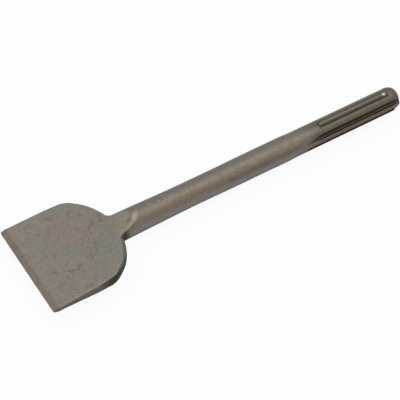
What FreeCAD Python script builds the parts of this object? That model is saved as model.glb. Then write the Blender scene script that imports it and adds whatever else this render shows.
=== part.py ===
"""A wide flat chisel for a rotary hammer, forged in one piece: a machined shank of 18 mm with closed
and open grooves, a round shaft, and a spade-shaped blade with a ground cutting edge.

Frame: the origin is the centre of the striking face, +X runs along the chisel to its cutting edge,
+Y lies across the blade, and +Z stands off the blade's flat. The two forging halves are mirror
images in the XY plane, and so are the blade's two sides in the XZ plane.
"""
import FreeCAD
import Part
import Sketcher
import math
import os

doc = FreeCAD.newDocument("flat_chisel")

# Driving dimensions, in millimetres and degrees
SIZES = [
    ("total_length", 300.0, "striking face to cutting edge"),
    ("shank_radius", 9.0, "machined shank"),
    ("shank_length", 90.0, "striking face to the end of the machined part"),
    ("end_chamfer_length", 3.6, "chamfer at the striking face, along the axis"),
    ("end_chamfer_depth", 1.3, "chamfer at the striking face, across the axis"),
    ("end_round_radius", 1.0, "round between chamfer and striking face"),
    ("seam_angle", 37.5, "seam of the turned shank, up from the XY plane"),
    ("lock_groove_start", 6.8, "striking face to the near end of a closed groove"),
    ("lock_groove_end", 66.6, "striking face to the far end of a closed groove"),
    ("lock_groove_radius", 3.5, "round bottom and round ends of a closed groove"),
    ("lock_groove_floor", 6.5, "axis to the bottom of a closed groove"),
    ("drive_groove_floor", 6.2, "axis to the floor of an open groove"),
    ("drive_groove_straight", 60.0, "striking face to where an open groove starts to run out"),
    ("drive_runout_radius", 86.0, "sweep of the cutter where an open groove runs out"),
    ("drive_rib_width", 4.2, "rib left between the paired open grooves"),
    ("drive_pair_width", 3.8, "each of the paired open grooves"),
    ("drive_single_width", 5.2, "the single open groove"),
    ("shaft_radius", 9.35, "forged shaft next to the shank"),
    ("shaft_step_length", 8.0, "cone from the shank up to the forged shaft"),
    ("waist_radius", 9.05, "slimmest place of the forged shaft"),
    ("waist_to_edge", 122.0, "slimmest place to the cutting edge"),
    ("neck_radius", 9.8, "shaft where it enters the blade"),
    ("neck_to_edge", 66.5, "place of the neck radius to the cutting edge"),
    ("shaft_root_depth", 12.0, "shaft inside the blade, past the neck"),
    ("blade_width", 80.0, "across the cutting edge"),
    ("side_taper_angle", 1.2, "each side of the blade closes in towards the shaft"),
    ("shoulder_radius", 14.4, "rounded rear corners of the blade"),
    ("back_radius", 48.0, "round back of the blade"),
    ("back_to_edge", 66.4, "back of the blade, on the axis, to the cutting edge"),
    ("stock_thickness", 24.0, "billet that the blade's flats are struck from"),
    ("bevel_length", 5.5, "ground bevel behind the cutting edge"),
    ("bevel_thickness", 4.0, "blade where the bevel starts"),
    ("edge_land", 0.4, "blunt width of the cutting edge"),
    ("face_angle", 3.3, "each flat of the blade rises towards the shaft"),
    ("ramp_angle", 18.5, "each flat turns up over the end of the shaft"),
    ("ramp_end_to_edge", 79.0, "cutting edge to where the ramp is as high as the neck"),
    ("ramp_blend_radius", 24.0, "hollow between flat and ramp"),
    ("neck_fillet_radius", 4.2, "hollow between the blade's back and the shaft"),
    ("forged_edge_radius", 1.2, "rounded edges of the forging"),
    ("tool_overrun", 5.0, "how far a cutting shape passes the stock"),
]
sheet = doc.addObject("Spreadsheet::Sheet", "Sizes")
for row, (alias, value, meaning) in enumerate(SIZES, start=1):
    sheet.set(f"A{row}", meaning)
    sheet.set(f"B{row}", str(value))
    sheet.setAlias(f"B{row}", alias)
doc.recompute()

# A sketch names an edge's ends and centre, its own origin and its X axis by number
START, END, CENTRE = 1, 2, 3
ORIGIN = (-1, 1)
X_AXIS = -1
FULL_TURN = 360.0


def size(alias):
    """The number that a cell of the sheet holds."""
    return float(sheet.get(alias))


def worked_out(expression):
    """What an expression on the sheet comes to, as a plain number."""
    value = sheet.evalExpression(expression)
    return float(getattr(value, "Value", value))


def point(place):
    """A point in a sketch, from an (x, y) pair."""
    return FreeCAD.Vector(*place, 0)


def line(start, end):
    """A straight edge in a sketch."""
    return Part.LineSegment(point(start), point(end))


def arc(start, middle, end):
    """A round edge in a sketch. It turns anticlockwise from start to end."""
    return Part.Arc(point(start), point(middle), point(end))


def on_circle(centre, radius, angle):
    """The (x, y) pair at an angle from +X on a circle."""
    return centre[0] + radius * math.cos(angle), centre[1] + radius * math.sin(angle)


def quarter(centre, radius, angle):
    """A quarter circle that starts at an angle."""
    turn = math.pi / 2
    return arc(*(on_circle(centre, radius, angle + part * turn) for part in (0, 0.5, 1)))


body = doc.addObject("PartDesign::Body", "flat_chisel")
body.Label = "flat_chisel"


def origin_item(role):
    """One of the body's own origin planes or axes."""
    return next(item for item in body.Origin.OriginFeatures if item.Role == role)


def new_sketch(name, plane, edges, joints):
    """A closed profile on an origin plane. joints says how each edge meets the next one."""
    sketch = body.newObject("Sketcher::SketchObject", name)
    sketch.AttachmentSupport = [(origin_item(plane), "")]
    sketch.MapMode = "FlatFace"
    sketch.addGeometry(edges, False)
    for here, joint in enumerate(joints):
        sketch.addConstraint(Sketcher.Constraint(joint, here, END, (here + 1) % len(edges), START))
    return sketch


def relate(sketch, *relations):
    """Constraints without a size."""
    for relation in relations:
        sketch.addConstraint(Sketcher.Constraint(*relation))


def drive(sketch, name, expression, kind, *where):
    """A driving dimension with a name of its own, bound to the sheet."""
    value = worked_out(expression)
    if kind == "Angle":
        value = math.radians(value)
    index = sketch.addConstraint(Sketcher.Constraint(kind, *where, value))
    sketch.renameConstraint(index, name)
    sketch.setExpression(f"Constraints.{name}", expression)


def feature(kind, name, bound=None, **settings):
    """A feature of the chisel. bound gives the properties that follow the sheet."""
    item = body.newObject(f"PartDesign::{kind}", name)
    for key, value in settings.items():
        setattr(item, key, value)
    for key, expression in (bound or {}).items():
        item.setExpression(key, expression)
    body.Tip = item
    doc.recompute()
    return item


def edge_names(shape, test):
    """The edges of a shape that pass a test, by name."""
    return [f"Edge{n}" for n, edge in enumerate(shape.Edges, start=1) if test(edge)]


# Shank: half a section, turned about the axis. The section stands at an angle, so that the seam of the
# turned wall lies in one of the paired open grooves and the lands have none
length = size("total_length")
shank_end = size("shank_length")
chamfered = size("shank_radius") - size("end_chamfer_depth")
shank_section = new_sketch(
    "shank_section",
    "XY_Plane",
    [
        line((0, 0), (shank_end, 0)),
        line((shank_end, 0), (shank_end, size("shank_radius"))),
        line((shank_end, size("shank_radius")), (size("end_chamfer_length"), size("shank_radius"))),
        line((size("end_chamfer_length"), size("shank_radius")), (0, chamfered)),
        line((0, chamfered), (0, 0)),
    ],
    ["Coincident"] * 5,
)
relate(
    shank_section,
    ("Coincident", 0, START, *ORIGIN),
    ("Horizontal", 0),
    ("Vertical", 1),
    ("Horizontal", 2),
    ("Vertical", 4),
)
drive(shank_section, "shank_end", "Sizes.shank_length", "DistanceX", 0, END)
drive(shank_section, "shank_radius", "Sizes.shank_radius", "DistanceY", 1, END)
drive(shank_section, "chamfer_length", "Sizes.end_chamfer_length", "DistanceX", 2, END)
drive(shank_section, "chamfer_depth", "Sizes.end_chamfer_depth", "DistanceY", 3, END, 3, START)
shank_section.AttachmentOffset = FreeCAD.Placement(
    FreeCAD.Vector(), FreeCAD.Rotation(FreeCAD.Vector(1, 0, 0), size("seam_angle"))
)
shank_section.setExpression("AttachmentOffset.Rotation.Angle", "Sizes.seam_angle")
shank = feature(
    "Revolution",
    "shank",
    Profile=shank_section,
    ReferenceAxis=(origin_item("X_Axis"), [""]),
    Angle=FULL_TURN,
)
feature(
    "Fillet",
    "worn_rim",
    bound={"Radius": "Sizes.end_round_radius"},
    Base=(shank, edge_names(shank.Shape, lambda edge: edge.BoundBox.XMax < size("end_chamfer_length") / 2)),
)

# Forged shaft: turned the same way, from the end of the shank into the blade
neck = (length - size("neck_to_edge"), size("neck_radius"))
root_end = neck[0] + size("shaft_root_depth")
corners = [
    (shank_end, 0),
    (root_end, 0),
    (root_end, neck[1]),
    neck,
    (length - size("waist_to_edge"), size("waist_radius")),
    (shank_end + size("shaft_step_length"), size("shaft_radius")),
    (shank_end, size("shank_radius")),
]
section = new_sketch(
    "shaft_section",
    "XY_Plane",
    [line(here, after) for here, after in zip(corners, corners[1:] + corners[:1])],
    ["Coincident"] * len(corners),
)
relate(
    section,
    ("PointOnObject", 0, START, X_AXIS),
    ("Horizontal", 0),
    ("Vertical", 1),
    ("Horizontal", 2),
    ("Vertical", 6),
)
drive(section, "shank_end", "Sizes.shank_length", "DistanceX", 0, START)
drive(section, "root_end", "Sizes.shaft_root_depth", "DistanceX", 2, END, 2, START)
drive(section, "neck", "Sizes.total_length - Sizes.neck_to_edge", "DistanceX", 2, END)
drive(section, "neck_radius", "Sizes.neck_radius", "DistanceY", 2, END)
drive(section, "waist", "Sizes.total_length - Sizes.waist_to_edge", "DistanceX", 3, END)
drive(section, "waist_radius", "Sizes.waist_radius", "DistanceY", 3, END)
drive(section, "cone_length", "Sizes.shaft_step_length", "DistanceX", 5, END, 5, START)
drive(section, "shaft_radius", "Sizes.shaft_radius", "DistanceY", 4, END)
drive(section, "shank_radius", "Sizes.shank_radius", "DistanceY", 5, END)
feature(
    "Revolution",
    "shaft",
    Profile=section,
    ReferenceAxis=(origin_item("X_Axis"), [""]),
    Angle=FULL_TURN,
)

# Blade stock: the plan outline, padded past the shaft on both sides of the XY plane
half_width = size("blade_width") / 2
taper = math.radians(size("side_taper_angle"))
shoulder = size("shoulder_radius")
back = size("back_radius")
back_centre = (length - size("back_to_edge") + back, 0)


def shoulder_centre():
    """The centre of the circle that touches the blade's side and its round back from inside."""
    slope = math.tan(taper)
    level = half_width - slope * length - shoulder / math.cos(taper)
    # its centre is a shoulder radius inside the side, and back - shoulder from the back's centre
    a = 1 + slope**2
    b = 2 * (level * slope - back_centre[0])
    c = back_centre[0] ** 2 + level**2 - (back - shoulder) ** 2
    x = (-b - math.sqrt(b**2 - 4 * a * c)) / (2 * a)
    return x, level + slope * x


def across(place):
    """The same place on the other side of the axis."""
    return place[0], -place[1]


corner = shoulder_centre()
side_angle = math.pi / 2 + taper
back_angle = math.atan2(corner[1], corner[0] - back_centre[0])
edge_end = (length, half_width)
side_end, shoulder_middle, shoulder_end = (
    on_circle(corner, shoulder, angle)
    for angle in (side_angle, (side_angle + back_angle) / 2, back_angle)
)
back_middle = on_circle(back_centre, back, math.pi)
plan = new_sketch(
    "blade_plan",
    "XY_Plane",
    [
        line(across(edge_end), edge_end),
        line(edge_end, side_end),
        arc(side_end, shoulder_middle, shoulder_end),
        arc(shoulder_end, back_middle, across(shoulder_end)),
        arc(across(shoulder_end), across(shoulder_middle), across(side_end)),
        line(across(side_end), across(edge_end)),
    ],
    ["Coincident", "Tangent", "Tangent", "Tangent", "Tangent", "Coincident"],
)
relate(
    plan,
    ("Symmetric", 0, START, 0, END, X_AXIS),
    ("Symmetric", 1, END, 5, START, X_AXIS),
    ("PointOnObject", 3, CENTRE, X_AXIS),
)
drive(plan, "edge", "Sizes.total_length", "DistanceX", 0, END)
drive(plan, "width", "Sizes.blade_width", "DistanceY", 0, START, 0, END)
drive(plan, "side_taper", "-Sizes.side_taper_angle", "Angle", 5)
drive(plan, "shoulder", "Sizes.shoulder_radius", "Radius", 2)
drive(plan, "back", "Sizes.back_radius", "Radius", 3)
back_place = "Sizes.total_length - Sizes.back_to_edge + Sizes.back_radius"
drive(plan, "back_centre", back_place, "DistanceX", 3, CENTRE)
stock = feature(
    "Pad",
    "blade_stock",
    bound={"Length": "Sizes.stock_thickness"},
    Profile=plan,
    Midplane=True,
)


def is_neck_edge(edge):
    """Where the round back of the blade meets the shaft."""
    box = edge.BoundBox
    reach = max(abs(box.YMin), box.YMax, abs(box.ZMin), box.ZMax)
    return box.XMin > corners[4][0] and reach < (size("neck_radius") + size("stock_thickness") / 2) / 2


hollowed = feature(
    "Fillet",
    "neck_hollow",
    bound={"Radius": "Sizes.neck_fillet_radius"},
    Base=(stock, edge_names(stock.Shape, is_neck_edge)),
)

# Flats, ramps and bevels: sections in the XZ plane, cut across the blade from above, then mirrored
past_edge = length + size("tool_overrun")
top = size("stock_thickness") / 2 + size("tool_overrun")


def cutting_section(name, edges, joints):
    """A profile that falls from the top to past the cutting edge, closed round the space above it."""
    start = edges[0].StartPoint
    end = edges[-1].EndPoint
    above = (end.x, top)
    last = len(edges) - 1
    sketch = new_sketch(
        name,
        "XZ_Plane",
        [*edges, line((end.x, end.y), above), line(above, (start.x, start.y))],
        [*joints, "Coincident", "Coincident", "Coincident"],
    )
    relate(sketch, ("Vertical", last + 1), ("Horizontal", last + 2))
    drive(sketch, "past_edge", "Sizes.total_length + Sizes.tool_overrun", "DistanceX", last, END)
    drive(sketch, "top", "Sizes.stock_thickness / 2 + Sizes.tool_overrun", "DistanceY", last + 1, END)
    return sketch


def through(sketch, name, edge, x, z):
    """Makes a straight edge of a section pass through a place given by two expressions."""
    place = (worked_out(x), worked_out(z))
    index = sketch.addGeometry(Part.Point(point(place)), True)
    drive(sketch, f"{name}_x", x, "DistanceX", index, START)
    drive(sketch, f"{name}_z", z, "DistanceY", index, START)
    relate(sketch, ("PointOnObject", index, START, edge))


def cut_both_halves(name, sketch):
    """Cuts a section from the upper half of the blade, and its mirror image from the lower half."""
    cut = feature("Pocket", name, Profile=sketch, Type="ThroughAll", Midplane=True)
    return feature(
        "Mirrored",
        f"{name}_below",
        Originals=[cut],
        MirrorPlane=(origin_item("XY_Plane"), [""]),
    )


face = math.radians(size("face_angle"))
ramp = math.radians(size("ramp_angle"))
blend = size("ramp_blend_radius")
bevel_start = (length - size("bevel_length"), size("bevel_thickness") / 2)
ramp_place = (length - size("ramp_end_to_edge"), size("neck_radius"))
# flat and ramp would meet at crease, and their hollow touches each of them at touch from there
fall = (bevel_start[1] - ramp_place[1]) + (bevel_start[0] - ramp_place[0]) * math.tan(ramp)
crease_x = bevel_start[0] - fall / (math.tan(ramp) - math.tan(face))
crease = (crease_x, bevel_start[1] + (bevel_start[0] - crease_x) * math.tan(face))
touch = blend * math.tan((ramp - face) / 2)
ramp_low = on_circle(crease, touch, math.pi - ramp)
flat_high = on_circle(crease, touch, -face)
hollow_centre = on_circle(flat_high, blend, math.pi / 2 - face)
hollow_middle = on_circle(hollow_centre, blend, -math.pi / 2 - (face + ramp) / 2)
ramp_top = (ramp_place[0] - (top - ramp_place[1]) / math.tan(ramp), top)
flat_low = (past_edge, bevel_start[1] - (past_edge - bevel_start[0]) * math.tan(face))
flats = cutting_section(
    "flat_section",
    [line(ramp_top, ramp_low), arc(ramp_low, hollow_middle, flat_high), line(flat_high, flat_low)],
    ["Tangent", "Tangent"],
)
through(flats, "ramp_end", 0, "Sizes.total_length - Sizes.ramp_end_to_edge", "Sizes.neck_radius")
through(flats, "flat_end", 2, "Sizes.total_length - Sizes.bevel_length", "Sizes.bevel_thickness / 2")
drive(flats, "ramp_angle", "-Sizes.ramp_angle", "Angle", 0)
drive(flats, "hollow", "Sizes.ramp_blend_radius", "Radius", 1)
drive(flats, "face_angle", "-Sizes.face_angle", "Angle", 2)
struck = cut_both_halves("struck_flat", flats)


def is_struck(face):
    """A flat, hollow or ramp: it runs straight along Y, and looks up or down."""
    surface = face.Surface
    if isinstance(surface, Part.Plane):
        return abs(surface.Axis.y) < 0.01 < 0.5 < abs(surface.Axis.z)
    return isinstance(surface, Part.Cylinder) and abs(surface.Axis.y) > 0.99


flat_rims = [
    edge
    for face in struck.Shape.Faces
    if is_struck(face)
    for edge in face.Edges
    if edge.BoundBox.XLength > 0.01
]
rimmed = feature(
    "Fillet",
    "forged_edges",
    bound={"Radius": "Sizes.forged_edge_radius"},
    Base=(
        struck,
        edge_names(struck.Shape, lambda edge: any(edge.isSame(rim) for rim in flat_rims)),
    ),
)

land = (length, size("edge_land") / 2)
bevel_slope = (bevel_start[1] - land[1]) / size("bevel_length")
bevel_top = (land[0] - (top - land[1]) / bevel_slope, top)
bevel_low = (past_edge, land[1] - size("tool_overrun") * bevel_slope)
bevels = cutting_section("bevel_section", [line(bevel_top, bevel_low)], [])
through(bevels, "start", 0, "Sizes.total_length - Sizes.bevel_length", "Sizes.bevel_thickness / 2")
through(bevels, "land", 0, "Sizes.total_length", "Sizes.edge_land / 2")
ground = cut_both_halves("ground_bevel", bevels)

# Closed grooves: a round-ended roller's space above and below the axis, which locks the shank
roller = size("lock_groove_radius")
roller_axis = size("lock_groove_floor") + roller
near_end, far_end = size("lock_groove_start"), size("lock_groove_end")
lock = new_sketch(
    "lock_groove_section",
    "XZ_Plane",
    [
        quarter((near_end + roller, roller_axis), roller, math.pi),
        line((near_end + roller, roller_axis - roller), (far_end - roller, roller_axis - roller)),
        quarter((far_end - roller, roller_axis), roller, -math.pi / 2),
        line((far_end, roller_axis), (near_end, roller_axis)),
    ],
    ["Tangent", "Tangent", "Coincident", "Coincident"],
)
relate(
    lock,
    ("Horizontal", 3),
    ("PointOnObject", 0, CENTRE, 3),
    ("PointOnObject", 2, CENTRE, 3),
    ("Equal", 0, 2),
)
drive(lock, "roller", "Sizes.lock_groove_radius", "Radius", 0)
drive(lock, "axis", "Sizes.lock_groove_floor + Sizes.lock_groove_radius", "DistanceY", 3, END)
drive(lock, "near_end", "Sizes.lock_groove_start", "DistanceX", 3, END)
drive(lock, "far_end", "Sizes.lock_groove_end", "DistanceX", 3, START)
lock_groove = feature(
    "Groove",
    "lock_groove",
    Profile=lock,
    ReferenceAxis=(lock, ["Edge4"]),
    Angle=FULL_TURN,
)
lock_grooves = feature(
    "PolarPattern",
    "lock_grooves",
    Originals=[lock_groove],
    Axis=(origin_item("X_Axis"), [""]),
    Angle=FULL_TURN,
    Occurrences=2,
)

# Open grooves: a flat floor from the striking face, which runs out upwards as the cutter leaves it
floor = size("drive_groove_floor")
straight = size("drive_groove_straight")
sweep = size("drive_runout_radius")
clear = size("shank_radius") + size("tool_overrun")
runout_centre = (straight, floor + sweep)
runout_angle = math.asin((runout_centre[1] - clear) / sweep)
runout_end, runout_middle = (
    on_circle(runout_centre, sweep, angle) for angle in (-runout_angle, -(runout_angle + math.pi / 2) / 2)
)
before_face = -size("tool_overrun")


def drive_section(name):
    """The side view of an open groove, on the +Y side of the shank."""
    sketch = new_sketch(
        name,
        "XY_Plane",
        [
            line((before_face, floor), (straight, floor)),
            arc((straight, floor), runout_middle, runout_end),
            line(runout_end, (before_face, clear)),
            line((before_face, clear), (before_face, floor)),
        ],
        ["Tangent", "Coincident", "Coincident", "Coincident"],
    )
    relate(sketch, ("Horizontal", 0), ("Horizontal", 2), ("Vertical", 3))
    drive(sketch, "before_face", "-Sizes.tool_overrun", "DistanceX", 0, START)
    drive(sketch, "floor", "Sizes.drive_groove_floor", "DistanceY", 0, START)
    drive(sketch, "straight", "Sizes.drive_groove_straight", "DistanceX", 0, END)
    drive(sketch, "sweep", "Sizes.drive_runout_radius", "Radius", 1)
    drive(sketch, "clear", "Sizes.shank_radius + Sizes.tool_overrun", "DistanceY", 2, END)
    return sketch


pair = drive_section("pair_groove_section")
pair.setExpression("AttachmentOffset.Base.z", "Sizes.drive_rib_width / 2")
pair_groove = feature(
    "Pocket",
    "pair_groove",
    bound={"Length": "Sizes.drive_pair_width"},
    Profile=pair,
    Reversed=True,
)
paired_grooves = feature(
    "Mirrored",
    "paired_grooves",
    Originals=[pair_groove],
    MirrorPlane=(origin_item("XY_Plane"), [""]),
)
single = drive_section("single_groove_section")
# turned over about the axis, to the -Y side
single.AttachmentOffset = FreeCAD.Placement(
    FreeCAD.Vector(), FreeCAD.Rotation(FreeCAD.Vector(1, 0, 0), FULL_TURN / 2)
)
single_groove = feature(
    "Pocket",
    "single_groove",
    bound={"Length": "Sizes.drive_single_width"},
    Profile=single,
    Midplane=True,
)

# Every feature has to have worked, and every cut has to have taken something away
for item in doc.Objects:
    if {"Invalid", "Error"} & set(item.State):
        raise RuntimeError(f"{item.Name} failed: {item.State}")
steps = [hollowed, struck, rimmed, ground, lock_groove, lock_grooves]
steps += [pair_groove, paired_grooves, single_groove]
for before, after in zip(steps, steps[1:]):
    if not after.Shape.Volume < before.Shape.Volume:
        raise RuntimeError(f"{after.Name} took nothing away")
if body.Shape.isNull() or not body.Shape.isValid() or len(body.Shape.Solids) != 1:
    raise RuntimeError("the chisel isn't one valid solid")

os.makedirs("parts", exist_ok=True)
body.Shape.exportStep(f"parts/{body.Label}.step")
print(f"volume {body.Shape.Volume:.0f} mm3, box {body.Shape.BoundBox}")
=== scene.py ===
import math

import bmesh
import bpy
import numpy as np
from mathutils import Matrix, Vector, noise
from mathutils.bvhtree import BVHTree


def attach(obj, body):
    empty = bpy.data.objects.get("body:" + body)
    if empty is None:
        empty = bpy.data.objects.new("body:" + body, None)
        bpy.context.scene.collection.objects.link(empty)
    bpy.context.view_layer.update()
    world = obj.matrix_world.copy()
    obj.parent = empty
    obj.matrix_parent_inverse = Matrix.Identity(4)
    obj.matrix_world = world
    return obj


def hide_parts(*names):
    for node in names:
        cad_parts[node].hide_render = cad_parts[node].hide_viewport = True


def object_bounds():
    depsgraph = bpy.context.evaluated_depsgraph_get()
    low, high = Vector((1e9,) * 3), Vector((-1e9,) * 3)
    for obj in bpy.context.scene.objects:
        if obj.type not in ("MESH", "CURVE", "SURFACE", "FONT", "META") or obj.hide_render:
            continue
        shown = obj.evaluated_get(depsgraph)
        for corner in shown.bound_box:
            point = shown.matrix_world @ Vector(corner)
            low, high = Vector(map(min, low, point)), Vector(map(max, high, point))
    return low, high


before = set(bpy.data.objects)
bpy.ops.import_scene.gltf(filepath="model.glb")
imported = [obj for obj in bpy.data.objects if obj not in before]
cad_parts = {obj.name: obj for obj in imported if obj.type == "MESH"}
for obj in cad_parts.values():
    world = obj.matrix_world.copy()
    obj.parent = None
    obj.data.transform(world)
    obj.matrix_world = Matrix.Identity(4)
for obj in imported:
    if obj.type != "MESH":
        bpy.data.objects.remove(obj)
cad_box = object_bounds()

# The chisel: one bar of tool steel, drop forged at the blade and shot blasted, then turned and milled at the
# shank and ground at the cutting edge. Nothing is fixed to it. It wears a single skin, a fine even mesh that is
# laid on the solid and takes the marks that each of those steps leaves. Lengths are in millimetres.
MM = 0.001
SKIN_CELL = 0.55
MERGE_DISTANCE = 0.001

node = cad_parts["flat_chisel"]
mesh = node.data.copy()
mesh.materials.clear()
work = bmesh.new()
work.from_mesh(mesh)
bmesh.ops.remove_doubles(work, verts=work.verts, dist=MERGE_DISTANCE * MM)
work.to_mesh(mesh)
work.free()
solid = BVHTree.FromPolygons([v.co / MM for v in mesh.vertices], [p.vertices[:] for p in mesh.polygons])
skin = bpy.data.objects.new("chisel_skin", mesh)
bpy.context.scene.collection.objects.link(skin)

squares = skin.modifiers.new("even_squares", "REMESH")
squares.mode = "VOXEL"
squares.voxel_size = SKIN_CELL * MM
squares.use_smooth_shade = True
bpy.context.view_layer.update()
graph = bpy.context.evaluated_depsgraph_get()
mesh = bpy.data.meshes.new_from_object(skin.evaluated_get(graph))
skin.modifiers.clear()
skin.data = mesh
mesh.name = skin.name


def places_of(mesh):
    """A mesh's points in millimetres."""
    flat = np.empty(len(mesh.vertices) * 3)
    mesh.vertices.foreach_get("co", flat)
    return flat.reshape(-1, 3) / MM


def put_places(mesh, places):
    """Moves a mesh's points to places in millimetres."""
    mesh.vertices.foreach_set("co", (places * MM).ravel())
    mesh.update()


def normals_of(mesh):
    """The outward direction at each point."""
    flat = np.empty(len(mesh.vertices) * 3)
    mesh.vertex_normals.foreach_get("vector", flat)
    return flat.reshape(-1, 3)


def neighbours(mesh):
    """The two ends of every edge, both ways round."""
    pairs = np.empty(len(mesh.edges) * 2, int)
    mesh.edges.foreach_get("vertices", pairs)
    pairs = pairs.reshape(-1, 2)
    return np.concatenate([pairs, pairs[:, ::-1]]).T


# a point moves by half of what its neighbours ask for, each heard by how nearly it faces the same way
HALF_STEP = 0.5
EDGE_KEEPING = 24
LONG_EDGE_KEEPING = 4
NEARLY_ALONG = 0.85
NOT_ZERO = 1e-6


def soften(mesh, rounds):
    """Evens out shallow facets and keeps true edges: a point moves only towards its own outside or inside."""
    here, there = neighbours(mesh)
    places = places_of(mesh)
    for _ in range(rounds):
        facing = normals_of(mesh)
        heard = np.clip((facing[here] * facing[there]).sum(1), 0, 1) ** EDGE_KEEPING
        total = np.bincount(here, heard, len(places)) + NOT_ZERO
        way = places[there] - places[here]
        pull = np.array([np.bincount(here, heard * way[:, k], len(places)) for k in range(3)]).T
        pull = pull / total[:, None]
        places = places + HALF_STEP * (pull * facing).sum(1)[:, None] * facing
        put_places(mesh, places)


def comb(mesh, rounds, start, end):
    """Straightens the edges that run along the axis, from start to end of it."""
    here, there = neighbours(mesh)
    places = places_of(mesh)
    way = places[there] - places[here]
    along = np.abs(way[:, 0]) > NEARLY_ALONG * np.linalg.norm(way, axis=1)
    along &= (places[here, 0] > start) & (places[here, 0] < end)
    here, there = here[along], there[along]
    facing = normals_of(mesh)
    heard = np.clip((facing[here] * facing[there]).sum(1), 0, 1) ** LONG_EDGE_KEEPING
    total = np.bincount(here, heard, len(places)) + NOT_ZERO
    for _ in range(rounds):
        for k in (1, 2):
            pull = np.bincount(here, heard * (places[there, k] - places[here, k]), len(places))
            places[:, k] += HALF_STEP * pull / total
    put_places(mesh, places)


def ramp(values, start, end):
    """Rises smoothly from 0 at start to 1 at end, or falls if end is the lower."""
    part = np.clip((values - start) / (end - start), 0, 1)
    return part * part * (3 - 2 * part)


def wave(places, width, seed):
    """Smooth noise from 0 to 1 at each place, whose swells are about as wide as said."""
    shift = Vector((seed, 2 * seed, 3 * seed))
    return np.array([0.5 + 0.5 * noise.noise(Vector(place) / width + shift) for place in places])


# every point goes to the nearest place on the solid, and the facets are evened out
SMOOTHING_ROUNDS = 8
COMBING_ROUNDS = 12
GROOVES_FROM, GROOVES_TO = 3.0, 84.0
put_places(mesh, np.array([solid.find_nearest(Vector(place))[0][:] for place in places_of(mesh)]))
soften(mesh, SMOOTHING_ROUNDS)
comb(mesh, COMBING_ROUNDS, GROOVES_FROM, GROOVES_TO)
places = places_of(mesh)

# the cutting edge and the blade's sides come back to their true reach, row by row
ROW_WIDTH = 2 * SKIN_CELL
TIP_START, TIP = 297.0, 300.0
SIDE_START, HALF_WIDTH = 37.0, 40.0
SIDE_SLOPE = math.tan(math.radians(1.2))
for axis, other, start in ((0, 1, TIP_START), (1, 0, SIDE_START)):
    tip = (places[:, 0] > TIP_START) & (np.abs(places[:, axis]) > start)
    part = places[tip]
    rows = np.round(np.abs(part[:, other]) / ROW_WIDTH).astype(int)
    reach = np.full(rows.max() + 1, start)
    np.maximum.at(reach, rows, np.abs(part[:, axis]))
    end = TIP if axis == 0 else HALF_WIDTH - (TIP - part[:, 0]) * SIDE_SLOPE
    grown = start + (np.abs(part[:, axis]) - start) * (end - start) / (reach[rows] - start)
    places[tip, axis] = np.sign(part[:, axis]) * grown

# the turned outline: places along the axis, and the true radius there. Milling left the rib between the paired
# grooves slimmer, and the grooves nearer together, than drawn: heights above and below the rib's middle, drawn
# and milled. It also ran a little further along the shank.
SHANK_END = 90.0
OUTLINE_X = [3.6, SHANK_END, 98.0, 178.0, 233.5, 240.0]
OUTLINE_RADIUS = [9.0, 9.0, 9.35, 9.05, 9.8, 9.8]
FACET_HEIGHT = 0.1
DRAWN_HEIGHTS = [0, 2.1, 5.9, 7.2]
MILLED_HEIGHTS = [0, 1.4, 5.0, 7.2]
PAIR_SIDE = (5.0, 5.6)
PAIR_RUNOUT = (88, 76)
EXTRA_RUN = 2.8
EXTRA_RUN_RISE = (20, 64)
EXTRA_RUN_FADE = (92, 80)
x, y, z = places.T
turned = np.interp(x, OUTLINE_X, OUTLINE_RADIUS)
on_wall = np.abs(np.hypot(y, z) - turned) < FACET_HEIGHT
on_wall &= (x > OUTLINE_X[0]) & (x < OUTLINE_X[-1])
milled = np.interp(np.abs(z), DRAWN_HEIGHTS, MILLED_HEIGHTS)
milled = np.where(np.abs(z) < DRAWN_HEIGHTS[-1], milled, np.abs(z))
paired = ramp(y, *PAIR_SIDE) * ramp(x, *PAIR_RUNOUT)
places[:, 2] = np.sign(z) * (paired * milled + (1 - paired) * np.abs(z))
radius = np.hypot(places[:, 1], places[:, 2])
places[on_wall, 1:] *= (turned / radius)[on_wall, None]
places[:, 0] += EXTRA_RUN * ramp(places[:, 0], *EXTRA_RUN_RISE) * ramp(places[:, 0], *EXTRA_RUN_FADE)
put_places(mesh, places)

# grinding has left the bevel's upper line a little nearer to the edge than drawn
BEVEL_START, BEVEL_LINE = 294.5, 295.3
BEVEL_HALF, EDGE_HALF = 2.0, 0.2
FACE_SLOPE = math.tan(math.radians(3.3))
ahead = places[:, 0] - BEVEL_START
drawn = BEVEL_HALF - ahead * (BEVEL_HALF - EDGE_HALF) / (TIP - BEVEL_START)
line_half = BEVEL_HALF - (BEVEL_LINE - BEVEL_START) * FACE_SLOPE
ground = EDGE_HALF + (TIP - places[:, 0]) * (line_half - EDGE_HALF) / (TIP - BEVEL_LINE)
ground = np.minimum(BEVEL_HALF - ahead * FACE_SLOPE, ground)
thinner = np.clip(ground, EDGE_HALF, BEVEL_HALF) / np.clip(drawn, EDGE_HALF, BEVEL_HALF)
places[:, 2] *= np.where(ahead > 0, thinner, 1.0)

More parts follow.
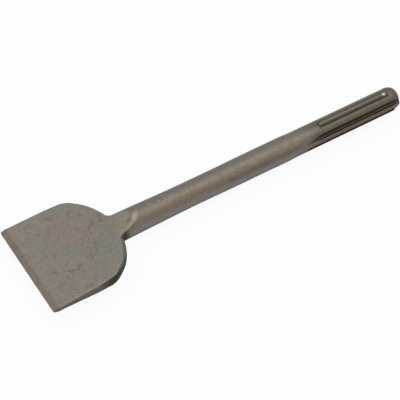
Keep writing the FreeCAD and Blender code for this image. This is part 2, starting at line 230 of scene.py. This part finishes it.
# the back of the blade: full at the forging's parting line, and rounded off towards each flat
RAMP_START, RAMP_START_HEIGHT = 221.0, 9.8
RAMP_SLOPE = math.tan(math.radians(18.5))
BACK_FROM = (228, 233)
BESIDE_SHAFT = (10, 13)
BACK_SWELL, BACK_SWELL_FADE = 1.6, (252, 241)
BACK_EDGE_LOSS, BACK_EDGE_LOSS_FADE = 1.1, (270, 256)
x, y, z = places.T
facing = normals_of(mesh)
face_height = BEVEL_HALF + (BEVEL_START - x) * FACE_SLOPE
ramp_height = RAMP_START_HEIGHT - (x - RAMP_START) * RAMP_SLOPE
level = np.clip(np.abs(z) / np.maximum(face_height, ramp_height), 0, 1)
back = ramp(x, *BACK_FROM) * ramp(np.abs(y), *BESIDE_SHAFT)
push = BACK_SWELL * (1 - level**2) * ramp(x, *BACK_SWELL_FADE)
push = push - BACK_EDGE_LOSS * level**2 * ramp(x, *BACK_EDGE_LOSS_FADE)
places = places + (push * back)[:, None] * facing * (1, 1, 0)

# forging and blasting leave the hot-worked part a little uneven and pitted, always inside the outline. Each mark
# has a depth, a width, a seed, and the levels of the noise between which it grows. Pits come in crowds, and the
# upright walls swell less.
SWELL_DEPTH, SWELL_WIDTH, SWELL_SEED, SWELL_LEVELS = 0.14, 24.0, 3.1, (0.75, 0.2)
DIMPLE_DEPTH, DIMPLE_WIDTH, DIMPLE_SEED = 0.035, 2.2, 7.7
PIT_DEPTH, PIT_WIDTH, PIT_SEED, PIT_LEVELS = 0.16, 1.1, 9.9, (0.64, 0.8)
CROWD_WIDTH, CROWD_SEED, CROWD_LEVELS, CROWD_FROM = 14.0, 5.3, (0.52, 0.7), (215, 240)
WALL_CALM, UPRIGHT = 0.7, 0.5
FORGED_FROM = (SHANK_END, SHANK_END + 14)
FORGED_TO = (BEVEL_START + 1, BEVEL_START - 3)
forged = ramp(x, *FORGED_FROM) * ramp(x, *FORGED_TO)
swell = ramp(wave(places, SWELL_WIDTH, SWELL_SEED), *SWELL_LEVELS)
dimple = wave(places, DIMPLE_WIDTH, DIMPLE_SEED)
crowd = ramp(wave(places, CROWD_WIDTH, CROWD_SEED), *CROWD_LEVELS) * ramp(x, *CROWD_FROM)
pits = ramp(wave(places, PIT_WIDTH, PIT_SEED), *PIT_LEVELS) * crowd
calm = 1 - WALL_CALM * (np.abs(facing[:, 2]) < UPRIGHT)
depth = forged * (SWELL_DEPTH * swell * calm + DIMPLE_DEPTH * dimple + PIT_DEPTH * pits)
places = places - depth[:, None] * facing

# the blade's two corners are blunted by use
CORNER_LOSS = 0.14
CORNER_FADE = (3.2, 0.4)
for side in (-1, 1):
    away = np.hypot(places[:, 0] - TIP, places[:, 1] - side * HALF_WIDTH)
    blunted = CORNER_LOSS * ramp(away, *CORNER_FADE)
    places[:, 0] -= blunted
    places[:, 1] -= side * blunted
places[:, 0] = np.clip(places[:, 0], 0, TIP)
put_places(mesh, places)

# what the finish follows, from 0 to 1 at each point: how the skin bends, where each kind of work was done, and
# where shade and highlights are painted in, with dirt in the open grooves. Each ramp says where a trait fades in or
# out, along x, across y or up z. The bar's brown band and streak lie on its upper near side, at an angle from the
# top.
BEND_ROUNDS = 3
BAND_ANGLE = math.radians(45)
STREAK_ANGLE = math.radians(66)
BAR_FROM, BAR_TO = (78, 96), (240, 228)
SHANK_RADIUS = OUTLINE_RADIUS[0]
GLINT_PLACE = (9.2, -0.6)
LIP_HIGHLIGHT_DEPTH = 1.7
x, y, z = places.T
facing = normals_of(mesh)
radius = np.hypot(y, z)
here, there = neighbours(mesh)
count = np.bincount(here, minlength=len(places))
bend = ((places[there] - places[here]) * facing[here]).sum(1)
bend = np.bincount(here, bend, len(places)) / count / SKIN_CELL
for _ in range(BEND_ROUNDS):
    bend = HALF_STEP * bend + HALF_STEP * np.bincount(here, bend[there], len(places)) / count
below_ramp = RAMP_START_HEIGHT - (x - RAMP_START) * RAMP_SLOPE - z
across = np.abs(y) - np.abs(z)
upper = ramp(z, 0, 3)
level_skin = np.abs(facing[:, 2])
towards_band = (math.sin(BAND_ANGLE) * y + math.cos(BAND_ANGLE) * z) / radius
towards_streak = (math.sin(STREAK_ANGLE) * y + math.cos(STREAK_ANGLE) * z) / radius
traits = {
    "machined": ramp(x, SHANK_END + 4, SHANK_END - 22),
    "bar": ramp(x, *BAR_TO) * ramp(x, 70, 100),
    "band": ramp(towards_band, 0.4, 0.95),
    # lighter grey on the bar's lower side: a painted reflection of the floor
    "bar_low_painted_reflection": ramp(z / radius, 0.4, 0.0) * ramp(x, *BAR_TO) * ramp(x, *BAR_FROM),
    "bar_streak": ramp(towards_streak, 0.955, 0.99) * ramp(x, 175, 130) * ramp(x, *BAR_FROM),
    "bevel": ramp(x, BEVEL_LINE - 0.3, BEVEL_LINE + 0.4),
    "pitted": pits * forged,
    # painted shade: darker where the forged part's skin is hollow
    "hollow": ramp(bend, 0.03, 0.25) * ramp(x, SHANK_END - 20, SHANK_END + 10),
    # the open grooves darkened: dirt, and painted shade in their depth
    "open_groove_dirt_and_shade": ramp(SHANK_RADIUS - radius, 0.15, 1.6) * ramp(x, SHANK_END + 3, SHANK_END) * ramp(across, 0, 1),
    # the closed grooves' floor darkened by painted shade; it is also made smoother
    "closed_groove_smooth_and_shaded": ramp(SHANK_RADIUS - radius, 0.2, 1.0) * ramp(x, SHANK_END, SHANK_END - 3) * ramp(-across, 0, 1),
    # painted shade: a dark line along the near lower edge of the upper closed groove
    "groove_painted_shade": ramp(y, 1.9, 2.9) * ramp(y, 4.4, 3.7) * ramp(x, 71.5, 68) * ramp(x, 6, 9) * upper,
    # painted shade under the rib between the paired grooves
    "rib_underside_painted_shade": ramp(-z, 0.9, 1.5) * ramp(y, 5.4, 6.2) * ramp(x, 87, 79) * ramp(x, 2, 5),
    # painted shade on the blade's upright walls, darkest towards the neck
    "wall_painted_shade": ramp(level_skin, 0.8, 0.35) * ramp(x, 226, 232) * (0.5 + 0.5 * ramp(x, 268, 256)),
    # painted highlight: lighter on the convex edges of the forged part
    "edge": ramp(-bend, 0.03, 0.2) * ramp(x, SHANK_END - 4, SHANK_END + 4),
    # painted highlight along the top line of the blade's walls
    "arris_painted_highlight": ramp(level, 0.8, 0.95) * ramp(level_skin, 0.98, 0.85) * ramp(x, *BACK_FROM),
    # painted glint: a bright spot in the closed groove's rounded end near the striking face
    "painted_glint": ramp(np.hypot(x - GLINT_PLACE[0], y - GLINT_PLACE[1]), 1.9, 0.5) * upper
    * ramp(SHANK_RADIUS - radius, 0.3, 0.7),
    # painted highlight: a cream band on the shaft's side of its rim beside the ramp
    "lip_painted_highlight": ramp(np.abs(below_ramp - LIP_HIGHLIGHT_DEPTH), 1.6, 0.1) * ramp(y, -1, 2) * ramp(z, 1, 4)
    * ramp(x, 246, 238) * ramp(x, 216, 222),
}
for name, values in traits.items():
    mesh.attributes.new(name, "FLOAT", "POINT").data.foreach_set("value", values.astype(np.float32))


def linear(code):
    """A hex colour as linear light, with an alpha of one."""
    parts = [int(code[k:k + 2], 16) / 255 for k in (1, 3, 5)]
    return [p / 12.92 if p <= 0.04045 else ((p + 0.055) / 1.055) ** 2.4 for p in parts] + [1.0]


def add_node(tree, kind, links=None, **settings):
    """Adds a node. links gives its inputs, each a value or another node's output."""
    made = tree.nodes.new(kind)
    for key, value in settings.items():
        setattr(made, key, value)
    for key, value in (links or {}).items():
        if isinstance(value, bpy.types.NodeSocket):
            tree.links.new(value, made.inputs[key])
        else:
            made.inputs[key].default_value = value
    return made


def new_material(name):
    """An empty material, its tree and its shader."""
    material = bpy.data.materials.new(name)
    material.use_nodes = True
    tree = material.node_tree
    tree.nodes.clear()
    shader = add_node(tree, "ShaderNodeBsdfPrincipled")
    add_node(tree, "ShaderNodeOutputMaterial", {"Surface": shader.outputs["BSDF"]})
    return material, tree, shader


# Tool steel, drop forged and shot blasted: dull grey, with faint greenish and rosy clouds where the scale came off
# unevenly, small dark pits, and a fine grain from the shot. The bar is browner in a band along its upper near side,
# and lighter grey low down, a painted reflection of the floor. The turned shank is smoother and darker, brown and
# dark in its grooves, which is painted shade, and in the open ones dirt too. The bevel is ground, and has darkened
# since. Shade is also painted in the forged part's hollows, under the rib and on the blade's upright walls, and
# highlights along its edges and the walls' top line, on the lip beside the ramp, and as a glint in a groove's end.
GREY, GREENISH, ROSY = "#8e8981", "#88897f", "#92877f"
BAR_GREY, BAR_BROWN, BAR_SHARE = "#7d7a76", "#897f72", 0.85
STAIN_BROWN = "#655a50"
GRAIN_HEIGHT, GRAIN_STRENGTH = 0.15, 0.3
SMOOTHER = {"machined": 0.12, "closed_groove_smooth_and_shaded": 0.16}
# width of each pattern's clouds in millimetres, detail, roughness, and a shift that sets it apart from the others.
# Real shot leaves a grain of about 0.2 mm, which is drawn coarser so that it shows.
PATTERNS = {
    "greenish": (20.8, 3.0, 0.55, 0.0),
    "rosy": (23.8, 3.0, 0.55, 3.7),
    "stains": (6.67, 2.0, 0.55, 2.2),
    "dust": (2.38, 3.0, 0.65, 1.3),
    "polish": (6.67, 3.0, 0.55, 5.1),
    "grain": (0.667, 2.0, 0.6, 0.0),
}
# how each pattern is used: from one of its levels to another, and the least and the most that it does there
LEVELS = {
    "greenish": (0.46, 0.64, 0.0, 1.0),
    "rosy": (0.46, 0.64, 0.0, 1.0),
    "stains": (0.6, 0.72, 0.0, 0.4),
    "dust": (0.3, 0.7, 0.88, 1.1),
    "polish": (0.3, 0.7, 0.46, 0.56),
}
# each trait's strength and colour, in the order in which they cover one another
# painted light among these layers: the lower bar's light grey is a painted reflection; the layers for hollows,
# grooves, the rib's underside and the walls are painted shade, with dirt in the open grooves; the last four are
# painted highlights
LAYERS = [
    ("bar_low_painted_reflection", 0.8, "#8f8e8e"),
    ("bar_streak", 0.4, "#6d5c52"),
    ("machined", 1.0, "#6f695e"),
    ("bevel", 1.0, "#787067"),
    ("pitted", 0.5, "#4a4340"),
    ("hollow", 0.6, "#4d4338"),
    ("open_groove_dirt_and_shade", 0.85, "#574e43"),
    ("closed_groove_smooth_and_shaded", 0.45, "#575146"),
    ("groove_painted_shade", 0.75, "#39342c"),
    ("rib_underside_painted_shade", 0.9, "#23211e"),
    ("wall_painted_shade", 0.9, "#37322d"),
    ("edge", 0.25, "#a39d93"),
    ("arris_painted_highlight", 0.45, "#aca69c"),
    ("painted_glint", 0.65, "#e4dfd6"),
    ("lip_painted_highlight", 0.5, "#d2c8b8"),
]
steel, tree, shader = new_material("forged_steel_shot_blasted")
where = add_node(tree, "ShaderNodeTexCoord").outputs["Object"]
pattern = {}
for name, (width, detail, roughness, shift) in PATTERNS.items():
    moved = add_node(tree, "ShaderNodeVectorMath", {0: where, 1: (shift, shift, shift)}, operation="ADD")
    links = {"Vector": moved.outputs[0], "Scale": 1 / (width * MM), "Detail": detail, "Roughness": roughness}
    pattern[name] = add_node(tree, "ShaderNodeTexNoise", links).outputs["Fac"]
followed = {name: add_node(tree, "ShaderNodeAttribute", attribute_name=name).outputs["Fac"] for name in traits}
amount = {}
for name, (low, high, least, most) in LEVELS.items():
    links = {0: pattern[name], 1: low, 2: high, 3: least, 4: most}
    amount[name] = add_node(tree, "ShaderNodeMapRange", links).outputs[0]
for name, strength in [("bar", BAR_SHARE)] + [(name, strength) for name, strength, _ in LAYERS]:
    links = {0: followed[name], 1: strength}
    amount[name] = add_node(tree, "ShaderNodeMath", links, operation="MULTIPLY").outputs[0]

# a mix of colours has its amount at socket 0, its two colours at 6 and 7, and its result at output 2
links = {0: followed["band"], 6: linear(BAR_GREY), 7: linear(BAR_BROWN)}
bar_colour = add_node(tree, "ShaderNodeMix", links, data_type="RGBA").outputs[2]
covers = [("greenish", linear(GREENISH)), ("rosy", linear(ROSY)), ("bar", bar_colour)]
covers += [("stains", linear(STAIN_BROWN))] + [(name, linear(code)) for name, _, code in LAYERS]
colour = linear(GREY)
for name, cover in covers:
    links = {0: amount[name], 6: colour, 7: cover}
    colour = add_node(tree, "ShaderNodeMix", links, data_type="RGBA").outputs[2]
dusty = add_node(tree, "ShaderNodeVectorMath", {0: colour, "Scale": amount["dust"]}, operation="SCALE")
tree.links.new(dusty.outputs[0], shader.inputs["Base Color"])

rough = amount["polish"]
for name, most in SMOOTHER.items():
    less = add_node(tree, "ShaderNodeMath", {0: followed[name], 1: most}, operation="MULTIPLY").outputs[0]
    rough = add_node(tree, "ShaderNodeMath", {0: rough, 1: less}, operation="SUBTRACT").outputs[0]
tree.links.new(rough, shader.inputs["Roughness"])
links = {"Height": pattern["grain"], "Strength": GRAIN_STRENGTH, "Distance": GRAIN_HEIGHT * MM}
blasted = add_node(tree, "ShaderNodeBump", links)
tree.links.new(blasted.outputs["Normal"], shader.inputs["Normal"])
shader.inputs["Metallic"].default_value = 1.0

mesh.materials.clear()
mesh.materials.append(steel)
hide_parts("flat_chisel")
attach(skin, "root")

# The floor that the chisel lies on: a sheet of white paper, matte, a little cool. To the camera it is nearly white
# wherever no shadow lies on it.
FLOOR_SIZE = 6.0
PAPER_WHITE, PURE_WHITE = "#f3f5f9", "#ffffff"
PAPER_ROUGHNESS = 0.9
WHITE_SHARE = 0.93
half = FLOOR_SIZE / 2
corners = [(-half, -half), (half, -half), (half, half), (-half, half)]
floor_mesh = bpy.data.meshes.new("floor")
floor_mesh.from_pydata([(*corner, cad_box[0].z) for corner in corners], [], [(0, 1, 2, 3)])
floor = bpy.data.objects.new("floor", floor_mesh)
bpy.context.scene.collection.objects.link(floor)
paper, tree, shader = new_material("white_paper_matte")
shader.inputs["Base Color"].default_value = linear(PAPER_WHITE)
shader.inputs["Roughness"].default_value = PAPER_ROUGHNESS
white = add_node(tree, "ShaderNodeEmission", {"Color": linear(PURE_WHITE), "Strength": 1.0})
seen = add_node(tree, "ShaderNodeLightPath").outputs["Is Camera Ray"]
whitened = add_node(tree, "ShaderNodeMath", {0: seen, 1: WHITE_SHARE}, operation="MULTIPLY").outputs[0]
mixed = add_node(tree, "ShaderNodeMixShader", {"Fac": whitened, 1: shader.outputs[0], 2: white.outputs[0]})
output = next(n for n in tree.nodes if n.type == "OUTPUT_MATERIAL")
tree.links.new(mixed.outputs[0], output.inputs["Surface"])
floor_mesh.materials.append(paper)

# The room: a pale studio all round, a little browner low down on one side. The steel mirrors it, and the camera
# sees white in its place.
ROOM_GREY, ROOM_BROWN = "#e4e3e2", "#c8b8a8"
BROWN_SIDE = (0.5, 0.86, 0.0)
BROWN_BELOW = (0.95, 0.1)
BROWN_TOWARDS = (-0.1, 0.7)
world = bpy.data.worlds.new("studio")
bpy.context.scene.world = world
world.use_nodes = True
tree = world.node_tree
tree.nodes.clear()
direction = add_node(tree, "ShaderNodeTexCoord").outputs["Generated"]
height = add_node(tree, "ShaderNodeSeparateXYZ", {"Vector": direction}).outputs["Z"]
towards = add_node(tree, "ShaderNodeVectorMath", {0: direction, 1: BROWN_SIDE}, operation="DOT_PRODUCT")
low = add_node(tree, "ShaderNodeMapRange", {0: height, 1: BROWN_BELOW[0], 2: BROWN_BELOW[1]}).outputs[0]
links = {0: towards.outputs["Value"], 1: BROWN_TOWARDS[0], 2: BROWN_TOWARDS[1]}
near = add_node(tree, "ShaderNodeMapRange", links).outputs[0]
brown = add_node(tree, "ShaderNodeMath", {0: near, 1: low}, operation="MULTIPLY").outputs[0]
links = {0: brown, 6: linear(ROOM_GREY), 7: linear(ROOM_BROWN)}
room = add_node(tree, "ShaderNodeMix", links, data_type="RGBA").outputs[2]
seen = add_node(tree, "ShaderNodeLightPath").outputs["Is Camera Ray"]
links = {0: seen, 6: room, 7: linear(PURE_WHITE)}
shown = add_node(tree, "ShaderNodeMix", links, data_type="RGBA").outputs[2]
surround = add_node(tree, "ShaderNodeBackground", {"Color": shown, "Strength": 1.0})
add_node(tree, "ShaderNodeOutputWorld", {"Surface": surround.outputs[0]})

# The lamps: a wide softbox overhead, and a small one behind that draws the light along the bar. Each has its
# place and aim in metres, its width and its power.
LAMPS = {
    "overhead": ((-0.25, 0.14, 1.15), (0.17, 0.0, 0.0), 0.9, 2.4),
    "behind": ((0.6, -0.66, 0.8), (0.1, 0.0, 0.0), 0.2, 0.9),
}
for name, (place, aim, width, power) in LAMPS.items():
    data = bpy.data.lights.new(name, "AREA")
    data.size = width
    data.energy = power
    lamp = bpy.data.objects.new(name, data)
    lamp.location = place
    lamp.rotation_euler = (Vector(aim) - Vector(place)).to_track_quat("-Z", "Y").to_euler()
    bpy.context.scene.collection.objects.link(lamp)

# The camera stands where the photograph's stood: beside the cutting edge and above it, with a long lens.
CAMERA_PLACE = Vector((439.71, 481.48, 594.04))
CAMERA_AIM = Vector((172.554, 8.732, 0.0))
CAMERA_ROLL = -2.9647
CAMERA_LENS = 106.26
CAMERA_SENSOR = 36.0
camera_data = bpy.data.cameras.new("camera")
camera_data.lens = CAMERA_LENS
camera_data.sensor_width = CAMERA_SENSOR
camera = bpy.data.objects.new("camera", camera_data)
sight = (CAMERA_AIM - CAMERA_PLACE).to_track_quat("-Z", "Y").to_matrix()
roll = Matrix.Rotation(math.radians(CAMERA_ROLL), 3, "Z")
camera.matrix_world = Matrix.Translation(CAMERA_PLACE * MM) @ (sight @ roll).to_4x4()
bpy.context.scene.collection.objects.link(camera)
bpy.context.scene.camera = camera
bpy.context.scene.view_settings.view_transform = "Standard"
